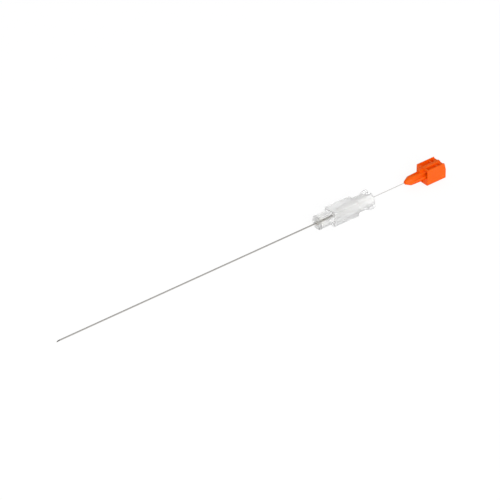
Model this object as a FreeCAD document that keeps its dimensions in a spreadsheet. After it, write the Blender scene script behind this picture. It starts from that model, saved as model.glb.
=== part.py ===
import FreeCAD, Part
import os

import Sketcher

# A spinal needle: a bevelled steel cannula in a clear moulded hub with a Luer lock
# rear end, and a stylet, a wire in an orange handle, drawn partly out of it.
# Millimetres. The needle's axis is X, from the tip towards the handle, and Z is up.
# The origin is on that axis, in the plane of the hub's rear face, the Luer mouth.
# Places along X inside the hub are counted from its rear face, and so are negative.

# Driving dimensions
SIZES = [
    ("cannula_reach", 120.0, "tube that stands out of the hub's front"),
    ("cannula_outer", 0.53, "outside diameter, 25 gauge"),
    ("cannula_bore", 0.31, "inside diameter"),
    ("bevel_long", 1.7, "length of the main facet of the point"),
    ("lancet_long", 0.75, "length of the two side facets at the very tip"),
    ("lancet_turn", 38.0, "how far each side facet is turned about the axis, degrees"),
    ("wire_thick", 0.27, "stylet wire diameter"),
    ("drawn_out", 25.8, "how far the stylet stands out from its seat"),
    ("boss_long", 6.2, "ribbed boss that the sheath grips"),
    ("boss_thick", 5.2, "boss diameter between its ribs"),
    ("boss_bead", 0.8, "plain bead at the boss's front"),
    ("rib_tall", 0.25, "height of a boss rib"),
    ("rib_wide", 0.7, "width of a boss rib at its foot"),
    ("rib_top", 0.35, "width of a boss rib at its top"),
    ("rib_count", 8.0, "ribs round the boss"),
    ("grip_long", 11.8, "square grip"),
    ("grip_wide", 6.1, "square grip across its flats"),
    ("grip_round", 0.35, "rounding of the grip's corners"),
    ("neck_long", 7.4, "round neck behind the grip"),
    ("neck_thick", 6.2, "neck diameter"),
    ("rim_long", 1.1, "rim at the rear face"),
    ("rim_tall", 0.12, "rim height over the neck"),
    ("lug_span", 7.8, "across the two lock lugs"),
    ("lug_turn", 48.0, "how far round each lug runs, degrees"),
    ("lug_ramp", 2.3, "ramp in front of each lug"),
    ("lug_lean", -45.0, "the lugs lie on the grip's diagonal, degrees"),
    ("socket_mouth", 4.3, "Luer socket diameter at its mouth"),
    ("socket_deep", 10.6, "depth of the tapered socket"),
    ("luer_taper", 0.06, "diameter lost for each unit of depth"),
    ("cone_long", 2.7, "cone between the socket and the chamber"),
    ("chamber_thick", 2.4, "chamber diameter"),
    ("funnel_long", 0.7, "funnel that leads the stylet into the cannula"),
    ("cannula_seat", 7.5, "tube held inside the hub"),
    ("bond_gap", 0.02, "radial gap for the bond round the tube"),
    ("well_thick", 1.9, "adhesive well diameter at the hub's front"),
    ("well_deep", 2.6, "adhesive well depth"),
    ("bond_fillet", 0.45, "how far the bond creeps out along the tube"),
    ("bond_bend", 0.15, "bend of the bond's hollow slope, in front of the hub"),
    ("bond_rise", 0.265, "thickness of the bond round the tube at that bend"),
    ("notch_wide", 1.3, "key notch in the hub's rim"),
    ("notch_deep", 1.8, "key notch depth along the axis"),
    ("key_gap", 0.1, "clearance of the key in its notch"),
    ("gate_thick", 1.0, "witness mark of the moulding gate, diameter"),
    ("gate_tall", 0.15, "its height over the grip's near side"),
    ("gate_along", 4.4, "its place behind the grip's front"),
    ("gate_low", 2.2, "its place below the axis"),
    ("block_long", 9.0, "handle block along the axis"),
    ("block_wide", 6.4, "handle block across"),
    ("block_tall", 6.65, "handle block height"),
    ("block_round", 0.3, "rounding of the block's long edges"),
    ("slope_long", 0.7, "sloped top of the block's rear, along the axis"),
    ("slope_tall", 2.9, "how far down the rear that slope reaches"),
    ("plate_thick", 0.5, "side plates of the block"),
    ("spine_wide", 1.5, "spine between the two troughs"),
    ("spine_round", 0.35, "rounding of the spine's edges"),
    ("channel_deep", 0.5, "shallow channels beside the spine"),
    ("trough_deep", 1.1, "troughs in the block's top and bottom"),
    ("front_lip", 0.6, "lip across the block's front"),
    ("trough_long", 4.6, "long troughs behind the front lip"),
    ("cross_wall", 0.7, "wall between the long and the short troughs"),
    ("trough_short", 1.1, "short troughs behind the cross wall"),
    ("recess_count", 2.0, "recesses beside the root of the nose, half a turn apart"),
    ("recess_deep", 1.5, "depth of a recess"),
    ("recess_low", 0.5, "how far below the axis the upper recess reaches"),
    ("recess_far", 0.65, "how far past the axis it reaches"),
    ("nose_thick", 4.1, "nose diameter at the block, from where it tapers like the socket"),
    ("nose_long", 8.8, "nose in front of the block"),
    ("nose_cone", 2.6, "conical tip of the nose"),
    ("nose_tip", 1.5, "diameter at the end of the cone"),
    ("pip_thick", 0.8, "small pip round the wire"),
    ("pip_long", 0.35, "its length"),
    ("flute_count", 6.0, "flutes along the nose, deeper towards the block"),
    ("flute_wide", 1.0, "flute width"),
    ("flute_deep", 0.8, "flute depth at the block"),
    ("flute_rise", 0.35, "how far below the nose's root radius a flute starts"),
    ("flute_lap", 0.05, "how far the cut of a flute reaches past that radius"),
    ("flute_start", 3.2, "flute's start behind the nose's end"),
    ("wire_grip", 4.2, "wire moulded into the block"),
    ("overrun", 1.0, "how far a cutting or joining outline runs past a face"),
]

# Two places closer than this are the same place
TINY = 1e-4

doc = FreeCAD.newDocument("spinal_needle")
sheet = doc.addObject("Spreadsheet::Sheet", "Sizes")
for row, (alias, value, meaning) in enumerate(SIZES, start=1):
    sheet.set("A%d" % row, alias)
    sheet.set("B%d" % row, str(value))
    sheet.setAlias("B%d" % row, alias)
    sheet.set("C%d" % row, meaning)
doc.recompute()


def named(text):
    """An expression in which each size is written as [size]."""
    return text.replace("[", "Sizes.").replace("]", "")


def new_body(name):
    body = doc.addObject("PartDesign::Body", name)
    body.Label = name
    body.Placement = FreeCAD.Placement()
    return body


def new_sketch(body, name, role, lean=None, spin=None, offset=None):
    """A sketch on one of the body's own planes.

    It can be leaned about its own X axis or spun about its normal, and moved off along that.
    """
    sketch = body.newObject("Sketcher::SketchObject", name)
    plane = [feature for feature in body.Origin.OriginFeatures if feature.Role == role][0]
    sketch.AttachmentSupport = (plane, "")
    sketch.MapMode = "FlatFace"
    if lean or spin:
        axis = FreeCAD.Vector(1, 0, 0) if lean else FreeCAD.Vector(0, 0, 1)
        sketch.AttachmentOffset = FreeCAD.Placement(FreeCAD.Vector(), axis, 1)
        sketch.setExpression(".AttachmentOffset.Rotation.Angle", named(lean or spin))
    if offset:
        sketch.setExpression(".AttachmentOffset.Base.z", named(offset))
    doc.recompute()
    return sketch


def bind(sketch, kind, geometry, point, expression):
    """Ties a point's distance from the sketch's origin to an expression."""
    value = float(sketch.evalExpression(named(expression)))
    number = sketch.addConstraint(Sketcher.Constraint(kind, -1, 1, geometry, point, value))
    sketch.setExpression("Constraints[%d]" % number, named(expression))


def outline(sketch, corners):
    """A closed outline of straight edges through corners given as pairs of expressions."""
    places = [
        FreeCAD.Vector(
            float(sketch.evalExpression(named(across))), float(sketch.evalExpression(named(up))), 0
        )
        for across, up in corners
    ]
    first = sketch.GeometryCount
    count = len(places)
    for index, place in enumerate(places):
        sketch.addGeometry(Part.LineSegment(place, places[(index + 1) % count]), False)
    for index in range(count):
        after = first + (index + 1) % count
        sketch.addConstraint(Sketcher.Constraint("Coincident", first + index, 2, after, 1))
    for index, (across, up) in enumerate(corners):
        bind(sketch, "DistanceX", first + index, 1, across)
        bind(sketch, "DistanceY", first + index, 1, up)


def circle(sketch, diameter, across="0", up="0"):
    """A circle, about the sketch's origin unless its centre is given."""
    value = float(sketch.evalExpression(named(diameter)))
    centre = FreeCAD.Vector(
        float(sketch.evalExpression(named(across))), float(sketch.evalExpression(named(up))), 0
    )
    index = sketch.addGeometry(Part.Circle(centre, FreeCAD.Vector(0, 0, 1), value / 2), False)
    bind(sketch, "DistanceX", index, 3, across)
    bind(sketch, "DistanceY", index, 3, up)
    number = sketch.addConstraint(Sketcher.Constraint("Diameter", index, value))
    sketch.setExpression("Constraints[%d]" % number, named(diameter))


def rectangle(sketch, wide, tall):
    """A rectangle about the sketch's origin."""
    outline(sketch, [
        ("-" + wide + " / 2", "-" + tall + " / 2"),
        (wide + " / 2", "-" + tall + " / 2"),
        (wide + " / 2", tall + " / 2"),
        ("-" + wide + " / 2", tall + " / 2"),
    ])


def turned(body, name, sketch, kind="Revolution", degrees=None):
    """Turns a sketch about the needle's axis, adding to the body or cutting from it."""
    feature = body.newObject("PartDesign::" + kind, name)
    feature.Profile = sketch
    feature.ReferenceAxis = (sketch, ["H_Axis"])
    feature.Angle = 360
    if degrees:
        feature.Midplane = True
        feature.setExpression("Angle", named(degrees))
    doc.recompute()
    return feature


def pushed(body, name, sketch, kind, length, midplane=False, reverse=False):
    """A pad or a pocket of a sketch."""
    feature = body.newObject("PartDesign::" + kind, name)
    feature.Profile = sketch
    feature.Midplane = midplane
    feature.Reversed = reverse
    feature.setExpression("Length", named(length))
    doc.recompute()
    return feature


def repeated(body, name, features, count):
    """The same features again, evenly spread round the needle's axis."""
    pattern = body.newObject("PartDesign::PolarPattern", name)
    pattern.Originals = features
    axis = [feature for feature in body.Origin.OriginFeatures if feature.Role == "X_Axis"][0]
    pattern.Axis = (axis, [""])
    pattern.Angle = 360
    pattern.setExpression("Occurrences", named(count))
    body.Tip = pattern
    doc.recompute()
    return pattern


def must_change(before, body, wanted):
    """Checks that a feature added to the body (+1) or cut from it (-1)."""
    change = body.Shape.Volume - before
    if change * wanted <= 0:
        raise RuntimeError("%s: the last feature did nothing" % body.Label)
    return body.Shape.Volume


def rounded(body, name, radius, chosen):
    """Rounds the edges that run along the axis and that chosen(y, z) picks by their place."""
    solid = body.Tip
    names = []
    for index, edge in enumerate(solid.Shape.Edges, start=1):
        if len(edge.Vertexes) != 2:
            continue
        start = edge.Vertexes[0].Point
        end = edge.Vertexes[1].Point
        along = abs(end.x - start.x)
        if along > TINY and edge.Length < along + TINY and chosen(start.y, start.z):
            names.append("Edge%d" % index)
    fillet = body.newObject("PartDesign::Fillet", name)
    fillet.Base = (solid, names)
    fillet.setExpression("Radius", named(radius))
    doc.recompute()
    return fillet


def size(alias):
    return float(sheet.get(alias))


def on_corner(wide, tall):
    """Picks edges at the four corners of a section with these overall sizes."""
    return lambda y, z: abs(abs(y) - wide / 2) < TINY and abs(abs(z) - tall / 2) < TINY


# Places along the axis that several pieces share
HUB_LONG = "([boss_long] + [grip_long] + [neck_long])"
HUB_FRONT = "-" + HUB_LONG
CANNULA_TIP = "(-" + HUB_LONG + " - [cannula_reach])"
CANNULA_REAR = "(-" + HUB_LONG + " + [cannula_seat])"
HANDLE_FRONT = "[drawn_out]"


def grind(body, name, length, shift="", lean=None):
    """Grinds a facet of the given length on the point's upper side.

    The facet's plane goes on by one more length past each side of the tube.
    """
    sketch = new_sketch(body, name + "_outline", "XZ_Plane", lean=lean)
    tip = CANNULA_TIP + shift
    radius = "[cannula_outer] / 2"
    outline(sketch, [
        (tip + " - " + length, "-" + radius + " - [cannula_outer]"),
        (tip + " + 2 * " + length, radius + " + [cannula_outer]"),
        (tip + " - " + length, radius + " + [cannula_outer]"),
    ])
    pushed(body, name, sketch, "Pocket", "[cannula_outer] + [overrun]", midplane=True)


def cannula_piece():
    """Drawn tube, with its point ground to a long facet and two short side facets."""
    body = new_body("cannula")
    ring = new_sketch(body, "tube_section", "YZ_Plane", offset=CANNULA_TIP)
    circle(ring, "[cannula_outer]")
    circle(ring, "[cannula_bore]")
    pushed(body, "tube", ring, "Pad", "[cannula_reach] + [cannula_seat]")
    volume = body.Shape.Volume
    grind(body, "bevel", "[bevel_long]")
    volume = must_change(volume, body, -1)
    for side, sign in (("left", ""), ("right", "-")):
        grind(body, "lancet_" + side, "[lancet_long]", lean=sign + "[lancet_turn]")
        volume = must_change(volume, body, -1)
    return body


def needle_hub_piece():
    """The clear moulding: boss, grip, neck and lugs outside, Luer socket and funnel inside."""
    body = new_body("needle_hub")
    grip_front = HUB_FRONT + " + [boss_long]"
    grip_rear = "-[neck_long]"

    barrel = new_sketch(body, "barrel_outline", "XZ_Plane")
    bead = "[boss_thick] / 2 + [rib_tall]"
    outline(barrel, [
        (HUB_FRONT, "0"),
        (HUB_FRONT, bead + " - [rib_tall]"),
        (HUB_FRONT + " + [rib_tall]", bead),
        (HUB_FRONT + " + [boss_bead]", bead),
        (HUB_FRONT + " + [boss_bead]", "[boss_thick] / 2"),
        (grip_rear, "[boss_thick] / 2"),
        (grip_rear, "[neck_thick] / 2"),
        ("-[rim_long]", "[neck_thick] / 2"),
        ("-[rim_long] + [rim_tall]", "[neck_thick] / 2 + [rim_tall]"),
        ("0", "[neck_thick] / 2 + [rim_tall]"),
        ("0", "0"),
    ])
    turned(body, "barrel", barrel)

    half_pitch = "180 / [rib_count]"
    rib_start = HUB_FRONT + " + [boss_bead] / 2"
    rib = new_sketch(body, "rib_section", "YZ_Plane", spin=half_pitch, offset=rib_start)
    outline(rib, [
        ("-[rib_wide] / 2", "[boss_thick] / 2 - [rib_tall]"),
        ("[rib_wide] / 2", "[boss_thick] / 2 - [rib_tall]"),
        ("[rib_wide] / 2", "[boss_thick] / 2"),
        ("[rib_top] / 2", "[boss_thick] / 2 + [rib_tall]"),
        ("-[rib_top] / 2", "[boss_thick] / 2 + [rib_tall]"),
        ("-[rib_wide] / 2", "[boss_thick] / 2"),
    ])
    volume = body.Shape.Volume
    one_rib = pushed(body, "rib", rib, "Pad", "[boss_long] - [boss_bead] / 2 + [overrun]")
    volume = must_change(volume, body, 1)
    repeated(body, "ribs", [one_rib], "[rib_count]")
    volume = must_change(volume, body, 1)

    square = new_sketch(body, "grip_section", "YZ_Plane", offset=grip_front)
    rectangle(square, "[grip_wide]", "[grip_wide]")
    pushed(body, "grip", square, "Pad", "[grip_long]")
    volume = must_change(volume, body, 1)
    rounded(body, "grip_corners", "[grip_round]", on_corner(size("grip_wide"), size("grip_wide")))
    volume = must_change(volume, body, -1)

    lug = new_sketch(body, "lug_outline", "XZ_Plane", lean="[lug_lean]")
    outline(lug, [
        ("-[rim_long] - [lug_ramp]", "[neck_thick] / 2 - [rim_tall]"),
        ("-[rim_long] - [lug_ramp]", "[neck_thick] / 2"),
        ("-[rim_long]", "[lug_span] / 2"),
        ("0", "[lug_span] / 2"),
        ("0", "[neck_thick] / 2 - [rim_tall]"),
    ])
    one_lug = turned(body, "lug", lug, degrees="[lug_turn]")
    volume = must_change(volume, body, 1)
    repeated(body, "lugs", [one_lug], "2")
    volume = must_change(volume, body, 1)

    cavity = new_sketch(body, "cavity_outline", "XZ_Plane")
    socket_end = "([socket_mouth] - [luer_taper] * [socket_deep]) / 2"
    tube_hole = "[cannula_outer] / 2 + [bond_gap]"
    outline(cavity, [
        (HUB_FRONT + " - [overrun]", "0"),
        (HUB_FRONT + " - [overrun]", "[well_thick] / 2"),
        (HUB_FRONT + " + [well_deep]", "[well_thick] / 2"),
        (HUB_FRONT + " + [well_deep]", tube_hole),
        (CANNULA_REAR, tube_hole),
        (CANNULA_REAR + " + [funnel_long]", "[chamber_thick] / 2"),
        ("-[socket_deep] - [cone_long]", "[chamber_thick] / 2"),
        ("-[socket_deep]", socket_end),
        ("0", "[socket_mouth] / 2"),
        ("[overrun]", "[socket_mouth] / 2"),
        ("[overrun]", "0"),
    ])
    turned(body, "cavity", cavity, kind="Groove")
    volume = must_change(volume, body, -1)

    notch = new_sketch(body, "notch_outline", "XY_Plane")
    outline(notch, [
        ("-[notch_deep]", "-[notch_wide] / 2"),
        ("[overrun]", "-[notch_wide] / 2"),
        ("[overrun]", "[notch_wide] / 2"),
        ("-[notch_deep]", "[notch_wide] / 2"),
    ])
    pushed(body, "key_notch", notch, "Pocket", "[neck_thick]", reverse=True)
    volume = must_change(volume, body, -1)

    gate = new_sketch(body, "gate_outline", "XZ_Plane", offset="[grip_wide] / 2 - [overrun]")
    circle(gate, "[gate_thick]", grip_front + " + [gate_along]", "-[gate_low]")
    pushed(body, "gate_mark", gate, "Pad", "[overrun] + [gate_tall]")
    must_change(volume, body, 1)
    return body


def cannula_adhesive_piece():
    """The cured bond: it fills the well and creeps out a little along the tube."""
    body = new_body("cannula_adhesive")
    bond = new_sketch(body, "bond_outline", "XZ_Plane")
    outline(bond, [
        (HUB_FRONT + " - [bond_fillet]", "[cannula_outer] / 2"),
        (HUB_FRONT + " - [bond_fillet]", "[cannula_outer] / 2 + [bond_gap]"),
        (HUB_FRONT + " - [bond_bend]", "[cannula_outer] / 2 + [bond_rise]"),
        (HUB_FRONT, "[well_thick] / 2"),
        (HUB_FRONT + " + [well_deep]", "[well_thick] / 2"),
        (HUB_FRONT + " + [well_deep]", "[cannula_outer] / 2"),
    ])
    turned(body, "bond", bond)
    return body


def both_sides(sketch, start, end):
    """The plan of two troughs, one each side of the block's spine."""
    inner = "[spine_wide] / 2"
    outer = "([block_wide] / 2 - [plate_thick])"
    for sign in ("", "-"):
        outline(sketch, [
            (start, sign + inner),
            (end, sign + inner),
            (end, sign + outer),
            (start, sign + outer),
        ])


def stylet_handle_piece():
    """The orange moulding: a cored block with a fluted nose and a key."""
    body = new_body("stylet_handle")
    block = new_sketch(body, "block_section", "YZ_Plane", offset=HANDLE_FRONT)
    rectangle(block, "[block_wide]", "[block_tall]")
    pushed(body, "block", block, "Pad", "[block_long]")
    volume = body.Shape.Volume
    rounded(body, "block_edges", "[block_round]", on_corner(size("block_wide"), size("block_tall")))
    volume = must_change(volume, body, -1)

    block_end = HANDLE_FRONT + " + [block_long]"
    slope = new_sketch(body, "rear_slope_outline", "XZ_Plane")
    slope_low = "[block_tall] / 2 - [slope_tall]"
    outline(slope, [
        (block_end + " - [slope_long]", "[block_tall] / 2"),
        (block_end, slope_low),
        (block_end + " + [overrun]", slope_low),
        (block_end + " + [overrun]", "[block_tall] / 2 + [overrun]"),
        (block_end + " - [slope_long]", "[block_tall] / 2 + [overrun]"),
    ])
    pushed(body, "rear_slope", slope, "Pocket", "[block_wide] + [overrun]", midplane=True)
    volume = must_change(volume, body, -1)

    long_start = HANDLE_FRONT + " + [front_lip]"
    long_end = long_start + " + [trough_long]"
    short_start = long_end + " + [cross_wall]"
    short_end = short_start + " + [trough_short]"
    cored = []
    for name, deep, start, end in (
        ("channels", "[channel_deep]", long_start, block_end + " + [overrun]"),
        ("long_troughs", "[trough_deep]", long_start, long_end),
        ("short_troughs", "[trough_deep]", short_start, short_end),
    ):
        plan = new_sketch(body, name + "_plan", "XY_Plane", offset="[block_tall] / 2")
        both_sides(plan, start, end)
        cored.append(pushed(body, name, plan, "Pocket", deep))
        volume = must_change(volume, body, -1)
    mirrored = body.newObject("PartDesign::Mirrored", "underside")
    mirrored.Originals = cored
    plane = [feature for feature in body.Origin.OriginFeatures if feature.Role == "XY_Plane"][0]
    mirrored.MirrorPlane = (plane, [""])
    body.Tip = mirrored
    doc.recompute()
    volume = must_change(volume, body, -1)
    rounded(body, "spine_edges", "[spine_round]", on_corner(size("spine_wide"), size("block_tall")))
    volume = must_change(volume, body, -1)

    recess_end = HANDLE_FRONT + " + [recess_deep]"
    recess = new_sketch(body, "recess_section", "YZ_Plane", offset=recess_end)
    recess_side = "-([block_wide] / 2 - [plate_thick])"
    recess_top = "[block_tall] / 2 - [plate_thick]"
    outline(recess, [
        (recess_side, "-[recess_low]"),
        ("[recess_far]", "-[recess_low]"),
        ("[recess_far]", recess_top),
        (recess_side, recess_top),
    ])
    upper_recess = pushed(body, "upper_recess", recess, "Pocket", "[recess_deep] + [overrun]")
    repeated(body, "recesses", [upper_recess], "[recess_count]")
    volume = must_change(volume, body, -1)

    nose = new_sketch(body, "nose_outline", "XZ_Plane")
    nose_end = HANDLE_FRONT + " - [nose_long]"
    cone_root = "([nose_thick] - [luer_taper] * ([nose_long] - [nose_cone])) / 2"
    outline(nose, [
        (nose_end, "0"),
        (nose_end, "[pip_thick] / 2"),
        (nose_end + " + [pip_long]", "[pip_thick] / 2"),
        (nose_end + " + [pip_long]", "[nose_tip] / 2"),
        (nose_end + " + [nose_cone]", cone_root),
        (HANDLE_FRONT, "[nose_thick] / 2"),
        (recess_end, "[nose_thick] / 2"),
        (recess_end, "0"),
    ])
    turned(body, "nose", nose)
    volume = must_change(volume, body, 1)

    flute = new_sketch(body, "flute_outline", "XY_Plane", lean="180 / [flute_count]")
    flute_floor = "[nose_thick] / 2 - [flute_deep]"
    flute_top = "[nose_thick] / 2 + [flute_lap]"
    outline(flute, [
        (nose_end + " + [flute_start]", "[nose_thick] / 2 - [flute_rise]"),
        (nose_end + " + [flute_start]", flute_top),
        (recess_end, flute_top),
        (recess_end, flute_floor),
    ])
    one_flute = pushed(body, "flute", flute, "Pocket", "[flute_wide]", midplane=True)
    volume = must_change(volume, body, -1)
    repeated(body, "flutes", [one_flute], "[flute_count]")
    volume = must_change(volume, body, -1)

    key = new_sketch(body, "key_section", "YZ_Plane", offset=recess_end)
    key_half = "([notch_wide] / 2 - [key_gap])"
    outline(key, [
        ("-" + key_half, flute_floor),
        (key_half, flute_floor),
        (key_half, "[neck_thick] / 2"),
        ("-" + key_half, "[neck_thick] / 2"),
    ])
    key_long = "[recess_deep] + [notch_deep] - [key_gap]"
    pushed(body, "key", key, "Pad", key_long, reverse=True)
    volume = must_change(volume, body, 1)

    hole = new_sketch(body, "wire_hole_section", "YZ_Plane", offset=HANDLE_FRONT + " + [wire_grip]")
    circle(hole, "[wire_thick]")
    pushed(body, "wire_hole", hole, "Pocket", "[wire_grip] + [nose_long] + [overrun]")
    must_change(volume, body, -1)
    return body


def stylet_wire_piece():
    """Solid wire, its end ground flush with the cannula's long facet when seated."""
    body = new_body("stylet_wire")
    start = CANNULA_TIP + " + [drawn_out]"
    section = new_sketch(body, "wire_section", "YZ_Plane", offset=start)
    circle(section, "[wire_thick]")
    length = HUB_LONG + " + [cannula_reach] + [wire_grip]"
    pushed(body, "wire", section, "Pad", length)
    volume = body.Shape.Volume
    grind(body, "wire_end", "[bevel_long]", shift=" + [drawn_out]")
    must_change(volume, body, -1)
    return body


pieces = [
    needle_hub_piece(),
    cannula_piece(),
    cannula_adhesive_piece(),
    stylet_handle_piece(),
    stylet_wire_piece(),
]
doc.recompute()

for thing in doc.Objects:
    if "Invalid" in thing.State or "Error" in thing.State:
        raise RuntimeError("%s failed to build" % thing.Label)
for piece in pieces:
    if piece.Shape.isNull() or not piece.Shape.isValid():
        raise RuntimeError("%s has no valid shape" % piece.Label)

os.makedirs("parts", exist_ok=True)
for piece in pieces:
    piece.Shape.exportStep("parts/%s.step" % piece.Label)
    print(piece.Label, round(piece.Shape.Volume, 3), "cubic mm", len(piece.Shape.Solids), "solid")
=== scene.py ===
import math

import bmesh
import bpy
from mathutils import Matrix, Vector


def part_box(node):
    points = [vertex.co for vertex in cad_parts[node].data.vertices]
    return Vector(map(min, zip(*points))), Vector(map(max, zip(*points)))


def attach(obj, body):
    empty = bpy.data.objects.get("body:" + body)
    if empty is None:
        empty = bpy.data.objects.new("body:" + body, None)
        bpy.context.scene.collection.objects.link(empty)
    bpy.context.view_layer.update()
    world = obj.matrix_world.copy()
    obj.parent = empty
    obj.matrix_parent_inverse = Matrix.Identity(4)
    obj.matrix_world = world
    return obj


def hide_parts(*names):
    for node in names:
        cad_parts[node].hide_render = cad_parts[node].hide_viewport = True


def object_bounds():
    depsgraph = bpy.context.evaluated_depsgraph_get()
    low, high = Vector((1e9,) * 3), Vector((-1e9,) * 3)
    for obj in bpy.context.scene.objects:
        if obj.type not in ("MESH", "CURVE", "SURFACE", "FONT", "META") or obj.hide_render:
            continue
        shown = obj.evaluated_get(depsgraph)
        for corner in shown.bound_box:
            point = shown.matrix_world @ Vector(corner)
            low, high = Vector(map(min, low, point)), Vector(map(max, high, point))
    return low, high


# A spinal needle lying on a white table, its stylet drawn partly out of the clear hub.
# Sizes are in millimetres where a name says so or MM stands beside them, else in metres.
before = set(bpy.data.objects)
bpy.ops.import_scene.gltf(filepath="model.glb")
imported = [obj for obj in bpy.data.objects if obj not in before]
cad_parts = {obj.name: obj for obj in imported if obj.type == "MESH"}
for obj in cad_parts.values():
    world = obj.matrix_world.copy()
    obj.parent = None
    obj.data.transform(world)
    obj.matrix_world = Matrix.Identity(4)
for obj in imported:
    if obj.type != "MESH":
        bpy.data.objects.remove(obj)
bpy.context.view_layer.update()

MM = 0.001

# The share of light straight through a clear wall, and less on the boss and rounded edges, as painted shade
STRAIGHT_SHARE = 0.3
STRAIGHT_AT_EDGE = 0.05

# The photograph's camera, fitted to the needle's outline
CAMERA_AZIMUTH = -39.07
CAMERA_ELEVATION = 34.11
CAMERA_DISTANCE = 1.601
CAMERA_LENS = 316.4
CAMERA_TARGET = (-56.06 * MM, 1.24 * MM, 0.43 * MM)

# Light levels of the white surroundings, and the key lamp
HORIZON_LIGHT = 1.1
ZENITH_LIGHT = 0.45
HORIZON_SEEN = 0.8
FAR_GLOSS = 0.25
TABLE_GLOW = 0.85
TABLE_LEVEL = 1.04
TABLE_BEHIND_GLASS = 0.12
TABLE_WIDE = 3.0
KEY_AZIMUTH = -25
KEY_ELEVATION = 28
KEY_DISTANCE = 1.2
KEY_WIDE = 0.7
KEY_WATTS = 6.3

# Where the pieces are, from the frame
hub_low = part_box("needle_hub")[0]
tube_low, tube_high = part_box("cannula")
bond_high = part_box("cannula_adhesive")[1]
handle_low, handle_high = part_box("stylet_handle")
wire_low, wire_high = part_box("stylet_wire")

# The tube and the wire
TUBE_RADIUS = 0.265 * MM
BORE_RADIUS = 0.155 * MM
WIRE_RADIUS = 0.135 * MM
BEVEL_LONG = 1.7 * MM
LANCET_LONG = 0.75 * MM
LANCET_TURN = math.radians(38)
FACET_TURN = -0.2

# The hub, whose rear face is at x = 0
HUB_FRONT = hub_low.x
BOSS_LONG = 6.2 * MM
BOSS_RADIUS = 2.6 * MM
BEAD_LONG = 0.8 * MM
RIB_TALL = 0.25 * MM
RIB_WIDE = 0.7 * MM
RIB_COUNT = 8
GRIP_FRONT = HUB_FRONT + BOSS_LONG
BLAST_SHORT = 0.9 * MM
BLAST_END = GRIP_FRONT - BLAST_SHORT
GRIP_REAR = -7.4 * MM
GRIP_HALF = 3.05 * MM
GRIP_ROUND = 0.35 * MM
NECK_RADIUS = 3.1 * MM
RIM_LONG = 1.1 * MM
RIM_TALL = 0.12 * MM
LUG_RADIUS = 3.9 * MM
LUG_RAMP = 2.3 * MM
LUG_HALF_TURN = math.radians(24)
LUG_FLANK = math.radians(2.5)
LUG_LEAN = math.radians(45)
SOCKET_MOUTH = 2.15 * MM
SOCKET_END = 1.832 * MM
SOCKET_DEEP = 10.6 * MM
CONE_LONG = 2.7 * MM
CHAMBER_RADIUS = 1.2 * MM
FUNNEL_LONG = 0.7 * MM
TUBE_REAR = tube_high.x
TUBE_HOLE = 0.285 * MM
WELL_RADIUS = 0.95 * MM
WELL_DEEP = 2.6 * MM
NOTCH_HALF = 0.65 * MM
NOTCH_DEEP = 1.8 * MM
GATE_RADIUS = 0.5 * MM
GATE_TALL = 0.15 * MM
GATE_ALONG = 4.4 * MM
GATE_LOW = 2.2 * MM
BOND_OUT = 0.45 * MM

# The hub's finishes and painted shades, in the order of its material slots
CLEAR, WETTED, EDGE_SHADE, CAVITY_SHADE = range(4)

# The stylet's handle
NOSE_END = handle_low.x
NOSE_LONG = 8.8 * MM
HANDLE_FRONT = NOSE_END + NOSE_LONG
HANDLE_REAR = handle_high.x
BLOCK_HALF_WIDE = handle_high.y
BLOCK_HALF_TALL = handle_high.z
BLOCK_ROUND = 0.3 * MM
SLOPE_LONG = 0.7 * MM
SLOPE_TALL = 2.9 * MM
PLATE = 0.5 * MM
SPINE_HALF = 0.75 * MM
SPINE_ROUND = 0.35 * MM
CHANNEL_DEEP = 0.5 * MM
TROUGH_DEEP = 1.1 * MM
LIP = 0.6 * MM
TROUGH_LONG = 4.6 * MM
CROSS_WALL = 0.7 * MM
TROUGH_SHORT = 1.1 * MM
RECESS_DEEP = 1.5 * MM
RECESS_LOW = 0.5 * MM
RECESS_FAR = 0.65 * MM
NOSE_RADIUS = 2.05 * MM
NOSE_TAPER = 0.06
NOSE_CONE = 2.6 * MM
NOSE_TIP = 0.75 * MM
PIP_RADIUS = 0.4 * MM
PIP_LONG = 0.35 * MM
FLUTE_COUNT = 6
FLUTE_HALF = 0.5 * MM
FLUTE_DEEP = 0.8 * MM
FLUTE_RISE = 0.35 * MM
FLUTE_LAP = 0.05 * MM
FLUTE_START = 3.2 * MM
KEY_HALF = 0.55 * MM
KEY_LONG = 1.7 * MM
WIRE_GRIP = 4.2 * MM
SOFT_EDGE = 0.06 * MM

# How far a cutting or joining shape runs past a face, how near a face counts as on a wall,
# and how near two points are one
OVERRUN = 0.5 * MM
NEAR = 0.01 * MM
MERGED = 0.0005 * MM

# Where the recesses beside the nose end, and the nose behind them
RECESS_END = HANDLE_FRONT + RECESS_DEEP
NOSE_ROOT = RECESS_END + OVERRUN


def linear(colour):
    """An sRGB colour written as #rrggbb, turned to linear red, green, blue and 1."""
    parts = [int(colour[i:i + 2], 16) / 255 for i in (1, 3, 5)]
    return [c / 12.92 if c <= 0.04045 else ((c + 0.055) / 1.055) ** 2.4 for c in parts] + [1.0]


def add(tree, kind, links=None, **settings):
    """Adds a node. Settings name its properties; links give its inputs, as sockets or values."""
    made = tree.nodes.new(kind)
    for name, value in settings.items():
        setattr(made, name, value)
    for name, value in (links or {}).items():
        if isinstance(value, bpy.types.NodeSocket):
            tree.links.new(value, made.inputs[name])
        else:
            made.inputs[name].default_value = value
    return made


def new_material(name):
    """An empty node material and its tree, output and Object coordinates."""
    material = bpy.data.materials.new(name)
    material.use_nodes = True
    tree = material.node_tree
    tree.nodes.clear()
    output = add(tree, "ShaderNodeOutputMaterial")
    place = add(tree, "ShaderNodeTexCoord").outputs["Object"]
    return material, tree, output, place


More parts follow.
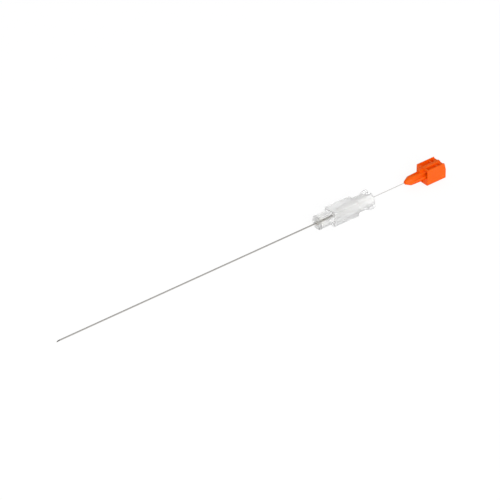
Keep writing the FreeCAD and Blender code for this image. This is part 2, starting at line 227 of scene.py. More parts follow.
def clear_moulding(name, straight_share, tint):
    """Clear polypropylene copolymer, injection moulded: nearly colourless and slightly hazy, with
    the slow waves that a cooling skin leaves, so what lies behind it looks soft and wavers a little.
    Painted shade: the boss and rounded edges get a copy with less straight light and a greyer tint."""
    material, tree, output, place = new_material(name)
    wave_mm = 2.5
    haze_mm = 1.2
    waves = add(tree, "ShaderNodeTexNoise", {"Vector": place, "Scale": 1 / (wave_mm * MM), "Detail": 1.0})
    haze = add(tree, "ShaderNodeTexNoise", {"Vector": place, "Scale": 1 / (haze_mm * MM), "Detail": 2.0})
    rough = add(tree, "ShaderNodeMapRange", {
        "Value": haze.outputs["Fac"], "From Min": 0.3, "From Max": 0.7, "To Min": 0.276, "To Max": 0.3,
    })
    bump = add(tree, "ShaderNodeBump", {
        "Height": waves.outputs["Fac"], "Strength": 0.12, "Distance": 0.02 * MM,
    })
    bent = add(tree, "ShaderNodeBsdfPrincipled", {
        "Base Color": linear(tint), "Roughness": rough.outputs["Result"], "IOR": 1.49,
        "Transmission Weight": 1.0, "Normal": bump.outputs["Normal"],
    })
    straight = add(tree, "ShaderNodeBsdfTransparent", {"Color": linear(tint)})
    shader = add(tree, "ShaderNodeMixShader", {
        0: straight_share, 1: bent.outputs["BSDF"], 2: straight.outputs["BSDF"],
    })
    tree.links.new(shader.outputs["Shader"], output.inputs["Surface"])
    return material


def wetted_wall():
    """A wall with cured adhesive against it, which bends no light: only a trace of its tint shows."""
    material, tree, output, place = new_material("adhesive-wetted wall")
    patch_mm = 0.8
    patches = add(tree, "ShaderNodeTexNoise", {"Vector": place, "Scale": 1 / (patch_mm * MM), "Detail": 2.0})
    tint = add(tree, "ShaderNodeMix", {
        "Factor": patches.outputs["Fac"], "A": linear("#fefefe"), "B": linear("#fafaf8"),
    }, data_type="RGBA")
    shader = add(tree, "ShaderNodeBsdfTransparent", {"Color": tint.outputs["Result"]})
    tree.links.new(shader.outputs["BSDF"], output.inputs["Surface"])
    return material


def cured_adhesive():
    """Cured clear acrylic adhesive: slightly hazy, a trace yellow, with small ripples where it set."""
    material, tree, output, place = new_material("cured acrylic adhesive")
    ripple_mm = 0.25
    ripples = add(tree, "ShaderNodeTexNoise", {"Vector": place, "Scale": 1 / (ripple_mm * MM), "Detail": 2.0})
    bump = add(tree, "ShaderNodeBump", {
        "Height": ripples.outputs["Fac"], "Strength": 0.25, "Distance": 0.01 * MM,
    })
    shader = add(tree, "ShaderNodeBsdfPrincipled", {
        "Base Color": linear("#fdfcf8"), "Roughness": 0.3, "IOR": 1.5,
        "Transmission Weight": 1.0, "Normal": bump.outputs["Normal"],
    })
    tree.links.new(shader.outputs["BSDF"], output.inputs["Surface"])
    return material


def drawn_steel(name, dull, bright):
    """Stainless steel, drawn and electropolished: bright, with fine lines along its length.
    The real lines are a few hundredths of a millimetre apart and are drawn coarser to show.
    The wire is brighter than the tube."""
    material, tree, output, place = new_material(name)
    line_mm = 0.09
    along_mm = 6.0
    scale = add(tree, "ShaderNodeMapping", {
        "Vector": place, "Scale": (1 / (along_mm * MM), 1 / (line_mm * MM), 1 / (line_mm * MM)),
    })
    lines = add(tree, "ShaderNodeTexNoise", {"Vector": scale.outputs["Vector"], "Scale": 1.0, "Detail": 3.0})
    rough = add(tree, "ShaderNodeMapRange", {
        "Value": lines.outputs["Fac"], "From Min": 0.3, "From Max": 0.7, "To Min": 0.24, "To Max": 0.38,
    })
    colour = add(tree, "ShaderNodeMix", {
        "Factor": lines.outputs["Fac"], "A": linear(dull), "B": linear(bright),
    }, data_type="RGBA")
    bump = add(tree, "ShaderNodeBump", {
        "Height": lines.outputs["Fac"], "Strength": 0.15, "Distance": 0.005 * MM,
    })
    shader = add(tree, "ShaderNodeBsdfPrincipled", {
        "Base Color": colour.outputs["Result"], "Metallic": 1.0,
        "Roughness": rough.outputs["Result"], "Normal": bump.outputs["Normal"],
    })
    tree.links.new(shader.outputs["BSDF"], output.inputs["Surface"])
    return material


def blasted_steel():
    """The part of the tube that the hub's boss holds, grit-blasted so the adhesive grips: matt.
    The real grit marks are finer and are drawn coarser to show."""
    material, tree, output, place = new_material("blasted stainless steel")
    grit_mm = 0.06
    grit = add(tree, "ShaderNodeTexNoise", {"Vector": place, "Scale": 1 / (grit_mm * MM), "Detail": 2.0})
    colour = add(tree, "ShaderNodeMix", {
        "Factor": grit.outputs["Fac"], "A": linear("#b4b1ac"), "B": linear("#c8c5c0"),
    }, data_type="RGBA")
    shader = add(tree, "ShaderNodeBsdfPrincipled", {
        "Base Color": colour.outputs["Result"], "Metallic": 1.0, "Roughness": 0.6,
    })
    tree.links.new(shader.outputs["BSDF"], output.inputs["Surface"])
    return material


def ground_steel():
    """The point's facets: the same steel, ground, so smoother, and crossed by grinding lines.
    The real lines are finer. They are drawn coarser to show, one every 0.3 mm or so."""
    material, tree, output, place = new_material("ground stainless steel")
    radian_mm = 0.05
    node_radians = 20
    grind = add(tree, "ShaderNodeTexWave", {
        "Vector": place, "Scale": 1 / (node_radians * radian_mm * MM), "Distortion": 1.5, "Detail": 2.0,
    }, bands_direction="X")
    rough = add(tree, "ShaderNodeMapRange", {
        "Value": grind.outputs["Fac"], "To Min": 0.16, "To Max": 0.3,
    })
    shader = add(tree, "ShaderNodeBsdfPrincipled", {
        "Base Color": linear("#8f8b86"), "Metallic": 1.0, "Roughness": rough.outputs["Result"],
    })
    tree.links.new(shader.outputs["BSDF"], output.inputs["Surface"])
    return material


def orange_moulding():
    """Orange polypropylene, injection moulded: saturated, satin, with a fine spark-eroded
    texture and slightly uneven pigment."""
    material, tree, output, place = new_material("orange moulded polypropylene")
    pigment_mm = 1.8
    texture_mm = 0.14
    pigment = add(tree, "ShaderNodeTexNoise", {
        "Vector": place, "Scale": 1 / (pigment_mm * MM), "Detail": 3.0,
    })
    texture = add(tree, "ShaderNodeTexNoise", {
        "Vector": place, "Scale": 1 / (texture_mm * MM), "Detail": 2.0,
    })
    colour = add(tree, "ShaderNodeMix", {
        "Factor": pigment.outputs["Fac"], "A": linear("#ef5b04"), "B": linear("#f7650a"),
    }, data_type="RGBA")
    rough = add(tree, "ShaderNodeMapRange", {
        "Value": texture.outputs["Fac"], "From Min": 0.3, "From Max": 0.7, "To Min": 0.34, "To Max": 0.48,
    })
    bump = add(tree, "ShaderNodeBump", {
        "Height": texture.outputs["Fac"], "Strength": 0.12, "Distance": 0.01 * MM,
    })
    shader = add(tree, "ShaderNodeBsdfPrincipled", {
        "Base Color": colour.outputs["Result"], "Roughness": rough.outputs["Result"], "IOR": 1.49,
        "Specular IOR Level": 0.15, "Subsurface Weight": 0.05, "Subsurface Radius": (1.0, 0.35, 0.1),
        "Subsurface Scale": 0.6 * MM, "Normal": bump.outputs["Normal"],
    })
    tree.links.new(shader.outputs["BSDF"], output.inputs["Surface"])
    return material


def new_piece(name, mesh):
    """Puts a mesh into the scene as an object at the origin."""
    piece = bpy.data.objects.new(name, mesh)
    bpy.context.scene.collection.objects.link(piece)
    return piece


def from_mesh_data(name, build):
    """A new piece whose mesh is filled by build(bm), closed, with its faces outwards."""
    bm = bmesh.new()
    build(bm)
    bmesh.ops.recalc_face_normals(bm, faces=bm.faces)
    mesh = bpy.data.meshes.new(name)
    bm.to_mesh(mesh)
    bm.free()
    return new_piece(name, mesh)


def settled(piece):
    """Turns the piece's modifiers into its plain mesh."""
    bpy.context.view_layer.update()
    graph = bpy.context.evaluated_depsgraph_get()
    mesh = bpy.data.meshes.new_from_object(piece.evaluated_get(graph), depsgraph=graph)
    piece.modifiers.clear()
    piece.data = mesh
    return piece


def combined(piece, other, operation):
    """Cuts the other shape from the piece, or joins it on, and removes the other."""
    step = piece.modifiers.new("combine", "BOOLEAN")
    step.operation = operation
    step.object = other
    step.solver = "EXACT"
    settled(piece)
    bpy.data.objects.remove(other)
    return piece


def smoothed(piece, degrees):
    """Smooth shading between faces that meet flatter than this, with flats kept flat."""
    for polygon in piece.data.polygons:
        polygon.use_smooth = True
    piece.data.set_sharp_from_angle(angle=math.radians(degrees))
    weighted = piece.modifiers.new("weighted", "WEIGHTED_NORMAL")
    weighted.keep_sharp = True
    return settled(piece)


def soft_outline(corners, steps=4):
    """Points of a closed outline given as (x, radius, rounding), its corners curved.
    A rounding takes less than half of the edge on either side."""
    most_share = 0.45
    points = []
    count = len(corners)
    for index, (x, radius, rounding) in enumerate(corners):
        here = Vector((x, radius))
        if rounding <= 0:
            points.append(here)
            continue
        before = Vector(corners[index - 1][:2]) - here
        after = Vector(corners[(index + 1) % count][:2]) - here
        start = here + before * min(most_share, rounding / before.length)
        end = here + after * min(most_share, rounding / after.length)
        for step in range(steps + 1):
            t = step / steps
            points.append(start * (1 - t) ** 2 + here * 2 * t * (1 - t) + end * t ** 2)
    return points


def turned_shell(bm, outline_at, count):
    """A closed shell round the X axis. outline_at(angle) gives the closed outline there;
    points on the axis become one."""
    rows = []
    for step in range(count):
        angle = 2 * math.pi * step / count
        row = []
        for place in outline_at(angle):
            row.append(bm.verts.new((place.x, place.y * math.cos(angle), place.y * math.sin(angle))))
        rows.append(row)
    size = len(rows[0])
    for step in range(count):
        here, following = rows[step], rows[(step + 1) % count]
        for index in range(size):
            after = (index + 1) % size
            bm.faces.new((here[index], here[after], following[after], following[index]))
    bmesh.ops.remove_doubles(bm, verts=bm.verts, dist=MERGED)


def blocks(name, *boxes):
    """Plain boxes that don't meet, given by their low and high corners, to cut or join."""
    def build(bm):
        for low, high in boxes:
            cube = bmesh.ops.create_cube(bm, size=1)
            for vertex in cube["verts"]:
                for axis in range(3):
                    vertex.co[axis] = low[axis] if vertex.co[axis] < 0 else high[axis]
    return from_mesh_data(name, build)


def bridge(bm, near_places, far_places):
    """A solid between two outlines of as many points: a face on each, and walls between them."""
    near, far = [[bm.verts.new(place) for place in places] for places in (near_places, far_places)]
    bm.faces.new(near)
    bm.faces.new(far[::-1])
    count = len(near)
    for index in range(count):
        after = (index + 1) % count
        bm.faces.new((near[index], far[index], far[after], near[after]))


def prism(bm, section, start, end):
    """A straight bar along X whose section is a list of (y, z)."""
    bridge(bm, [(start, y, z) for y, z in section], [(end, y, z) for y, z in section])


def rod(name, radius, start, end, count=64):
    """A plain round bar along X, to cut with."""
    section = []
    for step in range(count):
        angle = 2 * math.pi * step / count
        section.append((radius * math.cos(angle), radius * math.sin(angle)))
    return from_mesh_data(name, lambda bm: prism(bm, section, start, end))


def cut_point(tip, y, z):
    """Where the ground point starts at this place of the section."""
    start = tip + (z + TUBE_RADIUS) / (2 * TUBE_RADIUS) * BEVEL_LONG
    for turn in (LANCET_TURN, -LANCET_TURN):
        tilted = z * math.cos(turn) + y * math.sin(turn)
        start = max(start, tip + (tilted + TUBE_RADIUS) / (2 * TUBE_RADIUS) * LANCET_LONG)
    return start


def cannula_piece(drawn, ground, blasted):
    """The tube, its point ground to a long facet and two short side facets, blasted in the boss."""
    wall_steps = 6

    def outline_at(angle):
        y, z = math.cos(angle), math.sin(angle)
        points = []
        for step in range(wall_steps + 1):
            radius = BORE_RADIUS + (TUBE_RADIUS - BORE_RADIUS) * step / wall_steps
            points.append(Vector((cut_point(tube_low.x, radius * y, radius * z), radius)))
        points.append(Vector((HUB_FRONT, TUBE_RADIUS)))
        points.append(Vector((BLAST_END, TUBE_RADIUS)))
        points.append(Vector((TUBE_REAR, TUBE_RADIUS)))
        points.append(Vector((TUBE_REAR, BORE_RADIUS)))
        return points

    piece = from_mesh_data("needle_tube", lambda bm: turned_shell(bm, outline_at, 96))
    for material in (drawn, ground, blasted):
        piece.data.materials.append(material)
    ground_end = tube_low.x + BEVEL_LONG
    for polygon in piece.data.polygons:
        place = polygon.center
        if place.x < ground_end and polygon.normal.x < FACET_TURN:
            polygon.material_index = 1
        elif HUB_FRONT < place.x < BLAST_END and math.hypot(place.y, place.z) > 0.9 * TUBE_RADIUS:
            polygon.material_index = 2
    smoothed(piece, 20)
    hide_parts("cannula")
    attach(piece, "needle")


def wire_piece(drawn, ground):
    """The stylet's wire, its end ground to match the tube's point."""
    end_steps = 5

    def outline_at(angle):
        y, z = math.cos(angle), math.sin(angle)
        tip = wire_low.x - cut_point(0, 0, -WIRE_RADIUS)
        points = []
        for step in range(end_steps + 1):
            radius = WIRE_RADIUS * step / end_steps
            points.append(Vector((cut_point(tip, radius * y, radius * z), radius)))
        points.append(Vector((wire_high.x, WIRE_RADIUS)))
        points.append(Vector((wire_high.x, 0)))
        return points

    piece = from_mesh_data("stylet_core_wire", lambda bm: turned_shell(bm, outline_at, 48))
    piece.data.materials.append(drawn)
    piece.data.materials.append(ground)
    for polygon in piece.data.polygons:
        if polygon.normal.x < FACET_TURN:
            polygon.material_index = 1
    smoothed(piece, 20)
    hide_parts("stylet_wire")
    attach(piece, "stylet")


def square_reach(angle):
    """Distance from the axis to the grip's rounded square outline."""
    across, up = abs(math.cos(angle)), abs(math.sin(angle))
    flat = GRIP_HALF / max(across, up)
    core = GRIP_HALF - GRIP_ROUND
    if flat * min(across, up) <= core:
        return flat
    return core * (across + up) + math.sqrt(GRIP_ROUND ** 2 - core ** 2 * (across - up) ** 2)


def lug_share(angle):
    """1 on a lug, 0 between the lugs, with short steep flanks."""
    offset = abs((angle - LUG_LEAN + math.pi / 2) % math.pi - math.pi / 2)
    share = min(1.0, max(0.0, (LUG_HALF_TURN + LUG_FLANK / 2 - offset) / LUG_FLANK))
    return share * share * (3 - 2 * share)


def hub_outline(angle):
    """The hub's section at this angle: outside from front to rear, then back along the cavity."""
    grip = square_reach(angle)
    lug = lug_share(angle)
    lug_top = NECK_RADIUS + (LUG_RADIUS - NECK_RADIUS) * lug
    rim_top = max(NECK_RADIUS + RIM_TALL, lug_top)
    bead = BOSS_RADIUS + RIB_TALL
    return soft_outline([
        (HUB_FRONT, WELL_RADIUS, 0.04 * MM),
        (HUB_FRONT, BOSS_RADIUS, 0.1 * MM),
        (HUB_FRONT + RIB_TALL, bead, 0.15 * MM),
        (HUB_FRONT + BEAD_LONG, bead, 0.06 * MM),
        (HUB_FRONT + BEAD_LONG, BOSS_RADIUS, 0.08 * MM),
        (GRIP_FRONT, BOSS_RADIUS, 0.18 * MM),
        (GRIP_FRONT, grip, 0.14 * MM),
        (GRIP_REAR, grip, 0.55 * MM),
        (GRIP_REAR, NECK_RADIUS, 0.18 * MM),
        (-RIM_LONG - LUG_RAMP, NECK_RADIUS, 0.4 * MM),
        (-RIM_LONG, lug_top, 0.12 * MM),
        (-RIM_LONG + RIM_TALL, rim_top, 0.06 * MM),
        (0.0, rim_top, 0.12 * MM),
        (0.0, SOCKET_MOUTH, 0.1 * MM),
        (-SOCKET_DEEP, SOCKET_END, 0.4 * MM),
        (-SOCKET_DEEP - CONE_LONG, CHAMBER_RADIUS, 0.5 * MM),
        (TUBE_REAR + FUNNEL_LONG, CHAMBER_RADIUS, 0.3 * MM),
        (TUBE_REAR, TUBE_HOLE, 0.0),
        (HUB_FRONT + WELL_DEEP, TUBE_HOLE, 0.0),
        (HUB_FRONT + WELL_DEEP, WELL_RADIUS, 0.0),
    ])


def rib_tree(material):
    """Geometry nodes that raise evenly spaced ribs along the boss, between two places on X."""
    tree = bpy.data.node_groups.new("boss_ribs", "GeometryNodeTree")
    face = tree.interface
    face.new_socket("Geometry", in_out="INPUT", socket_type="NodeSocketGeometry")
    for name in ("Rib Count", "Rib Top Radius", "Rib Half Width", "Boss Radius", "From X", "To X"):
        face.new_socket(name, in_out="INPUT", socket_type="NodeSocketFloat")
    face.new_socket("Geometry", in_out="OUTPUT", socket_type="NodeSocketGeometry")
    given = add(tree, "NodeGroupInput").outputs
    place = add(tree, "GeometryNodeInputPosition").outputs["Position"]
    parts = add(tree, "ShaderNodeSeparateXYZ", {"Vector": place}).outputs

    def maths(operation, first, second=0.0, third=0.0):
        return add(tree, "ShaderNodeMath", {0: first, 1: second, 2: third}, operation=operation).outputs[0]

    flat_place = add(tree, "ShaderNodeCombineXYZ", {"Y": parts["Y"], "Z": parts["Z"]}).outputs["Vector"]
    radius = add(tree, "ShaderNodeVectorMath", {0: flat_place}, operation="LENGTH").outputs["Value"]
    angle = maths("ARCTAN2", parts["Z"], parts["Y"])
    half_pitch = maths("DIVIDE", math.pi, given["Rib Count"])
    turn = maths("PINGPONG", maths("ADD", angle, half_pitch), half_pitch)
    offset = maths("MULTIPLY", turn, radius)
    side = add(tree, "ShaderNodeMapRange", {
        "Value": offset, "From Min": given["Rib Half Width"],
        "From Max": maths("MULTIPLY", given["Rib Half Width"], 0.5), "To Min": 0.0, "To Max": 1.0,
    }, interpolation_type="SMOOTHSTEP").outputs["Result"]
    rise = maths("SUBTRACT", given["Rib Top Radius"], given["Boss Radius"])
    wanted = maths("MAXIMUM", radius, maths("MULTIPLY_ADD", rise, side, given["Boss Radius"]))
    inside = maths(
        "MULTIPLY",
        maths("GREATER_THAN", parts["X"], given["From X"]),
        maths("LESS_THAN", parts["X"], given["To X"]),
    )
    outer = maths("GREATER_THAN", radius, maths("MULTIPLY", given["Boss Radius"], 0.9))
    chosen = maths("MULTIPLY", inside, outer)
    stretch = maths("DIVIDE", wanted, radius)
    moved = add(tree, "ShaderNodeCombineXYZ", {
        "X": parts["X"],
        "Y": maths("MULTIPLY", parts["Y"], stretch),
        "Z": maths("MULTIPLY", parts["Z"], stretch),
    }).outputs["Vector"]
    raised = add(tree, "GeometryNodeSetPosition", {
        "Geometry": given["Geometry"], "Selection": chosen, "Position": moved,
    }).outputs["Geometry"]
    real = add(tree, "GeometryNodeRealizeInstances", {"Geometry": raised}).outputs["Geometry"]
    painted = add(tree, "GeometryNodeSetMaterial", {"Geometry": real, "Material": material})
    add(tree, "NodeGroupOutput", {"Geometry": painted.outputs["Geometry"]})
    return tree


def is_shaded_edge(place, normal):
    """True on the boss and on outer roundings that turn towards X, which get painted shade."""
    outside = math.hypot(place.y, place.z) > 0.95 * BOSS_RADIUS
    on_ramp = -RIM_LONG - LUG_RAMP < place.x < -RIM_LONG
    if on_ramp or not outside:
        return False
    on_boss = HUB_FRONT + BEAD_LONG < place.x < GRIP_FRONT
    least_turn, most_turn = 0.2, 0.97
    return on_boss or least_turn < abs(normal.x) < most_turn


def gate_mark(bm):
    """A low disc with a soft edge, for the grip's near side."""
    outline = soft_outline([
        (-OVERRUN, 0.0, 0), (-OVERRUN, GATE_RADIUS, 0),
        (GATE_TALL, GATE_RADIUS, 0.06 * MM), (GATE_TALL, 0.0, 0),
    ])
    turned_shell(bm, lambda angle: outline, 48)
    for vertex in bm.verts:
        x, y, z = vertex.co
        vertex.co = (GRIP_FRONT + GATE_ALONG + y, -GRIP_HALF - x, -GATE_LOW + z)


def ribbed(piece, material):
    """Raises the ribs of the boss."""
    ribs = piece.modifiers.new("ribs", "NODES")
    ribs.node_group = rib_tree(material)
    sizes = {
        "Rib Count": RIB_COUNT, "Rib Top Radius": BOSS_RADIUS + RIB_TALL, "Rib Half Width": RIB_WIDE / 2,
        "Boss Radius": BOSS_RADIUS, "From X": HUB_FRONT + BEAD_LONG / 2, "To X": GRIP_FRONT + NEAR,
    }
    for socket in ribs.node_group.interface.items_tree:
        if socket.in_out == "INPUT" and socket.name in sizes:
            ribs[socket.identifier] = float(sizes[socket.name])
    return settled(piece)


def hub_finish_or_shade(place, normal):
    """Which finish or painted shade a face of the hub has."""
    radius = math.hypot(place.y, place.z)
    front_rounding = 0.06 * MM
    in_well = HUB_FRONT + front_rounding < place.x < HUB_FRONT + WELL_DEEP + NEAR
    held = in_well and radius < WELL_RADIUS + NEAR
    drilled = place.x < TUBE_REAR and radius < TUBE_HOLE + NEAR
    if held or drilled:
        return WETTED
    # The boss and rounded edges get painted shade.
    if is_shaded_edge(place, normal):
        return EDGE_SHADE
    # Faces in the socket's cavity get painted shade.
    return CAVITY_SHADE if place.x > TUBE_REAR and radius < SOCKET_MOUTH else CLEAR


def hub_piece(clear, wetted, edge, cored):
    """The clear moulding, with its ribs, key notch and gate mark."""
    piece = from_mesh_data("clear_hub", lambda bm: turned_shell(bm, hub_outline, 288))
    ribbed(piece, clear)
    notch_low = (-NOTCH_DEEP, -NOTCH_HALF, SOCKET_MOUTH / 2)
    notch_high = (OVERRUN, NOTCH_HALF, LUG_RADIUS + OVERRUN)
    combined(piece, blocks("notch_shape", (notch_low, notch_high)), "DIFFERENCE")
    combined(piece, from_mesh_data("gate_shape", gate_mark), "UNION")

    # The third slot, edge, paints shade on the boss and rounded edges.
    piece.data.materials.clear()
    for material in (clear, wetted, edge, cored):
        piece.data.materials.append(material)
    # The fourth slot, cored, paints shade on the socket's cavity wall.
    for polygon in piece.data.polygons:
        polygon.material_index = hub_finish_or_shade(polygon.center, polygon.normal)
    smoothed(piece, 32)
    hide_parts("needle_hub")
    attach(piece, "needle")


def adhesive_piece(clear, wetted):
    """The cured bond in the hub's well, with its hollow-curved fillet up the tube."""
    curve_steps = 12
    toe = 0.03
    hollow, reach = 2.2, 1.3
    touching = 0.004 * MM
    outline = [Vector((bond_high.x, TUBE_RADIUS)), Vector((HUB_FRONT - BOND_OUT, TUBE_RADIUS))]
    for step in range(curve_steps + 1):
        share = step / curve_steps
        radius = TUBE_RADIUS + (WELL_RADIUS - TUBE_RADIUS) * (toe + (1 - toe) * share ** hollow)
        outline.append(Vector((HUB_FRONT - BOND_OUT * (1 - share) ** reach, radius)))
    outline.append(Vector((bond_high.x, WELL_RADIUS)))
    piece = from_mesh_data("bond_fillet", lambda bm: turned_shell(bm, lambda angle: outline, 72))
    piece.data.materials.append(clear)
    piece.data.materials.append(wetted)
    for polygon in piece.data.polygons:
        place = polygon.center
        inner = math.hypot(place.y, place.z) < TUBE_RADIUS + touching
        polygon.material_index = 1 if place.x > HUB_FRONT or inner else 0
    smoothed(piece, 40)
    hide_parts("cannula_adhesive")
    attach(piece, "needle")


def rounded_rectangle(half_wide, half_tall, rounding, steps=6):
    """A section about the axis, as a list of (y, z), its corners round."""
    section = []
    for sign_y, sign_z, begin in ((1, 1, 0), (-1, 1, 90), (-1, -1, 180), (1, -1, 270)):
        for step in range(steps + 1):
            angle = math.radians(begin + 90 * step / steps)
            section.append((
                sign_y * (half_wide - rounding) + rounding * math.cos(angle),
                sign_z * (half_tall - rounding) + rounding * math.sin(angle),
            ))
    return section


def channel_section(side, upper, steps=6):
    """The shallow channel beside the spine, its inner wall curving over the spine's edge."""
    floor = BLOCK_HALF_TALL - CHANNEL_DEEP
    above = BLOCK_HALF_TALL + OVERRUN
    section = [(BLOCK_HALF_WIDE - PLATE, above), (BLOCK_HALF_WIDE - PLATE, floor), (SPINE_HALF, floor)]
    for step in range(steps + 1):
        angle = math.radians(90 * step / steps)
        section.append((
            SPINE_HALF - SPINE_ROUND + SPINE_ROUND * math.cos(angle),
            BLOCK_HALF_TALL - SPINE_ROUND + SPINE_ROUND * math.sin(angle),
        ))
    section.append((SPINE_HALF - SPINE_ROUND, above))
    return [(side * y, upper * z) for y, z in section]


def rear_slope():
    """The wedge that slopes the top of the block's rear."""
    over = HANDLE_REAR + OVERRUN
    side_view = [
        (HANDLE_REAR - SLOPE_LONG, BLOCK_HALF_TALL), (HANDLE_REAR, BLOCK_HALF_TALL - SLOPE_TALL),
        (over, BLOCK_HALF_TALL - SLOPE_TALL), (over, BLOCK_HALF_TALL + OVERRUN),
        (HANDLE_REAR - SLOPE_LONG, BLOCK_HALF_TALL + OVERRUN),
    ]
    reach = BLOCK_HALF_WIDE + OVERRUN
    near, far = [[(x, y, z) for x, z in side_view] for y in (-reach, reach)]
    return from_mesh_data("slope_shape", lambda bm: bridge(bm, near, far))


def cored_block(name):
    """The handle's block, cored out on top, below and beside the root of the nose."""
    outline = rounded_rectangle(BLOCK_HALF_WIDE, BLOCK_HALF_TALL, BLOCK_ROUND)
    piece = from_mesh_data(name, lambda bm: prism(bm, outline, HANDLE_FRONT, HANDLE_REAR))
    combined(piece, rear_slope(), "DIFFERENCE")

    quarters = [(side, upper) for side in (1, -1) for upper in (1, -1)]
    long_start = HANDLE_FRONT + LIP
    long_end = long_start + TROUGH_LONG
    short_start = long_end + CROSS_WALL
    short_end = short_start + TROUGH_SHORT
    half_wide = BLOCK_HALF_WIDE - PLATE
    half_tall = BLOCK_HALF_TALL - PLATE

    def channels(bm):
        for side, upper in quarters:
            prism(bm, channel_section(side, upper), long_start, HANDLE_REAR + OVERRUN)

    combined(piece, from_mesh_data("channel_shapes", channels), "DIFFERENCE")

    floor, above = BLOCK_HALF_TALL - TROUGH_DEEP, BLOCK_HALF_TALL + OVERRUN
    troughs = []
    for side, upper in quarters:
        for start, end in ((long_start, long_end), (short_start, short_end)):
            near_y, far_y = sorted((side * SPINE_HALF, side * half_wide))
            low_z, high_z = sorted((upper * floor, upper * above))
            troughs.append(((start, near_y, low_z), (end, far_y, high_z)))
    combined(piece, blocks("trough_shapes", *troughs), "DIFFERENCE")

    front = HANDLE_FRONT - OVERRUN
    upper_recess = ((front, -half_wide, -RECESS_LOW), (RECESS_END, RECESS_FAR, half_tall))
    lower_recess = ((front, -RECESS_FAR, -half_tall), (RECESS_END, half_wide, RECESS_LOW))
    for recess in (upper_recess, lower_recess):
        combined(piece, blocks("recess_shape", recess), "DIFFERENCE")
    return piece


def flutes(bm):
    """Bars about the nose, whose floors fall towards the block."""
    ends = (
        (NOSE_END + FLUTE_START, NOSE_RADIUS - FLUTE_RISE),
        (RECESS_END, NOSE_RADIUS - FLUTE_DEEP),
    )
    top = NOSE_RADIUS + FLUTE_LAP
    for index in range(FLUTE_COUNT):
        turn = math.radians(180 / FLUTE_COUNT * (2 * index + 1))
        c, s = math.cos(turn), math.sin(turn)
        rings = []
        for along, floor in ends:
            bar = ((floor, -FLUTE_HALF), (top, -FLUTE_HALF), (top, FLUTE_HALF), (floor, FLUTE_HALF))
            rings.append([(along, out * c - side * s, out * s + side * c) for out, side in bar])
        bridge(bm, *rings)


def fluted_nose():
    """The nose with its conical tip and the pip round the wire, rooted behind the recesses."""
    cone_root = NOSE_RADIUS - NOSE_TAPER * (NOSE_LONG - NOSE_CONE) / 2
    outline = soft_outline([
        (NOSE_END, 0.0, 0), (NOSE_END, PIP_RADIUS, 0.06 * MM),
        (NOSE_END + PIP_LONG, PIP_RADIUS, 0.04 * MM), (NOSE_END + PIP_LONG, NOSE_TIP, 0.12 * MM),
        (NOSE_END + NOSE_CONE, cone_root, 0.3 * MM), (HANDLE_FRONT, NOSE_RADIUS, 0),
        (NOSE_ROOT, NOSE_RADIUS, 0), (NOSE_ROOT, 0.0, 0),
    ], steps=6)
    nose = from_mesh_data("nose_shape", lambda bm: turned_shell(bm, lambda angle: outline, 96))
    return combined(nose, from_mesh_data("flute_shapes", flutes), "DIFFERENCE")


def handle_piece(orange):
    """The stylet's handle: the cored block, its fluted nose, its key and the hole for the wire."""
    piece = cored_block("orange_handle")
    combined(piece, fluted_nose(), "UNION")
    key_low = (HANDLE_FRONT - KEY_LONG, -KEY_HALF, NOSE_RADIUS - FLUTE_DEEP)
    key_high = (NOSE_ROOT, KEY_HALF, NECK_RADIUS)
    combined(piece, blocks("key_shape", (key_low, key_high)), "UNION")
    hole = rod("wire_hole", WIRE_RADIUS, NOSE_END - OVERRUN, HANDLE_FRONT + WIRE_GRIP)
    combined(piece, hole, "DIFFERENCE")

    edges = piece.modifiers.new("soft_edges", "BEVEL")
    edges.width = SOFT_EDGE
    edges.segments = 2
    edges.limit_method = "ANGLE"
    edges.angle_limit = math.radians(40)
    edges.use_clamp_overlap = True
    settled(piece)
    piece.data.materials.clear()
    piece.data.materials.append(orange)
    smoothed(piece, 35)
    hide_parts("stylet_handle")
    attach(piece, "stylet")


def white_world():
    """White to the camera. The object is lit more from low down than from above. Clear plastic
    sees a greyer horizon, which draws its edges, and glossy faces see a darker far side."""
    world = bpy.data.worlds.new("studio")
    bpy.context.scene.world = world
    world.use_nodes = True
    tree = world.node_tree
    tree.nodes.clear()
    rays = add(tree, "ShaderNodeLightPath").outputs
    way = add(tree, "ShaderNodeTexCoord").outputs["Generated"]
    parts = add(tree, "ShaderNodeSeparateXYZ", {"Vector": way}).outputs

    def ramp(value, start, end, low, high):
        return add(tree, "ShaderNodeMapRange", {
            "Value": value, "From Min": start, "From Max": end, "To Min": low, "To Max": high,
        }).outputs["Result"]

    def either(ray, first, second):
        return add(tree, "ShaderNodeMix", {"Factor": rays[ray], "A": first, "B": second}).outputs["Result"]

    level = ramp(parts["Z"], 0.0, 1.0, HORIZON_LIGHT, ZENITH_LIGHT)
    level = either("Is Glossy Ray", level, ramp(parts["Y"], -0.2, 0.4, 1.0, FAR_GLOSS))
    level = either("Is Transmission Ray", level, ramp(parts["Z"], 0.0, 0.4, HORIZON_SEEN, 1.0))
    level = either("Is Camera Ray", level, 1.0)
    background = add(tree, "ShaderNodeBackground", {"Color": (1, 1, 1, 1), "Strength": level})
    add(tree, "ShaderNodeOutputWorld", {"Surface": background.outputs["Background"]})


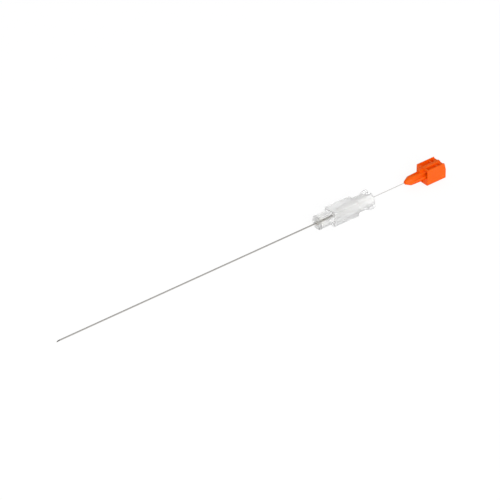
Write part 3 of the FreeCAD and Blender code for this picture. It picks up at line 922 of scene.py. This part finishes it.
def white_floor():
    """The table: white to the camera, to glass and to metal, with the object's faint shadow."""
    material, tree, output, place = new_material("white table")
    rays = add(tree, "ShaderNodeLightPath").outputs
    grain_mm = 4
    grain = add(tree, "ShaderNodeTexNoise", {"Vector": place, "Scale": 1 / (grain_mm * MM), "Detail": 2.0})
    colour = add(tree, "ShaderNodeMix", {
        "Factor": grain.outputs["Fac"], "A": linear("#fbfbfb"), "B": linear("#ffffff"),
    }, data_type="RGBA")
    table = add(tree, "ShaderNodeBsdfDiffuse", {"Color": colour.outputs["Result"]})
    level = add(tree, "ShaderNodeMath", {
        0: rays["Is Transmission Ray"], 1: TABLE_BEHIND_GLASS, 2: TABLE_LEVEL,
    }, operation="MULTIPLY_ADD").outputs[0]
    bright = add(tree, "ShaderNodeEmission", {"Color": (1, 1, 1, 1), "Strength": level})
    shown = rays["Is Camera Ray"]
    for ray in ("Is Glossy Ray", "Is Transmission Ray"):
        shown = add(tree, "ShaderNodeMath", {0: shown, 1: rays[ray]}, operation="MAXIMUM").outputs[0]
    share = add(tree, "ShaderNodeMath", {0: shown, 1: TABLE_GLOW}, operation="MULTIPLY").outputs[0]
    mixed = add(tree, "ShaderNodeMixShader", {
        0: share, 1: table.outputs["BSDF"], 2: bright.outputs["Emission"],
    })
    tree.links.new(mixed.outputs["Shader"], output.inputs["Surface"])

    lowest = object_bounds()[0].z
    bpy.ops.mesh.primitive_plane_add(size=TABLE_WIDE, location=(0, 0, lowest))
    floor = bpy.context.object
    floor.name = "floor"
    floor.data.materials.append(material)


def direction(azimuth, elevation):
    """Unit vector from the object towards a viewer there. Azimuth 0 looks along +Y."""
    a, e = math.radians(azimuth), math.radians(elevation)
    return Vector((math.sin(a) * math.cos(e), -math.cos(a) * math.cos(e), math.sin(e)))


def key_lamp():
    """A soft round lamp above the object's near side, turned towards the hub."""
    data = bpy.data.lights.new("key", "AREA")
    data.shape = "DISK"
    data.size = KEY_WIDE
    data.energy = KEY_WATTS
    lamp = bpy.data.objects.new("key", data)
    bpy.context.scene.collection.objects.link(lamp)
    back = direction(KEY_AZIMUTH, KEY_ELEVATION)
    lamp.location = back * KEY_DISTANCE
    lamp.rotation_euler = (-back).to_track_quat("-Z", "Y").to_euler()


def photo_camera():
    """The photograph's view: from the near left, well above, through a long lens."""
    data = bpy.data.cameras.new("camera")
    data.sensor_width = 36.0
    data.lens = CAMERA_LENS
    data.clip_start, data.clip_end = 0.05, 20.0
    camera = bpy.data.objects.new("camera", data)
    bpy.context.scene.collection.objects.link(camera)
    back = direction(CAMERA_AZIMUTH, CAMERA_ELEVATION)
    camera.location = Vector(CAMERA_TARGET) + back * CAMERA_DISTANCE
    camera.rotation_euler = (-back).to_track_quat("-Z", "Y").to_euler()
    bpy.context.scene.camera = camera


white_world()
clear_plastic = clear_moulding("clear moulded polypropylene", STRAIGHT_SHARE, "#fefefe")
# The boss and rounded edges: a greyer copy with less light straight through, painted shade
shaded_edge_plastic = clear_moulding("boss and rounded edges of clear polypropylene", STRAIGHT_AT_EDGE, "#efefee")
# The socket's cavity wall: a slightly darker copy, painted shade in the hollow
cavity_shade_plastic = clear_moulding("cavity wall of clear polypropylene, painted shade", STRAIGHT_SHARE, "#f8f8f7")
wetted = wetted_wall()
drawn = drawn_steel("drawn stainless tube", "#a8a5a1", "#c0bdb9")
bright_drawn = drawn_steel("bright-drawn stainless wire", "#cfccc8", "#e4e1dd")
ground = ground_steel()
hub_piece(clear_plastic, wetted, shaded_edge_plastic, cavity_shade_plastic)
adhesive_piece(cured_adhesive(), wetted)
cannula_piece(drawn, ground, blasted_steel())
wire_piece(bright_drawn, ground)
handle_piece(orange_moulding())
white_floor()
key_lamp()
photo_camera()
bpy.context.scene.view_settings.view_transform = "Standard"
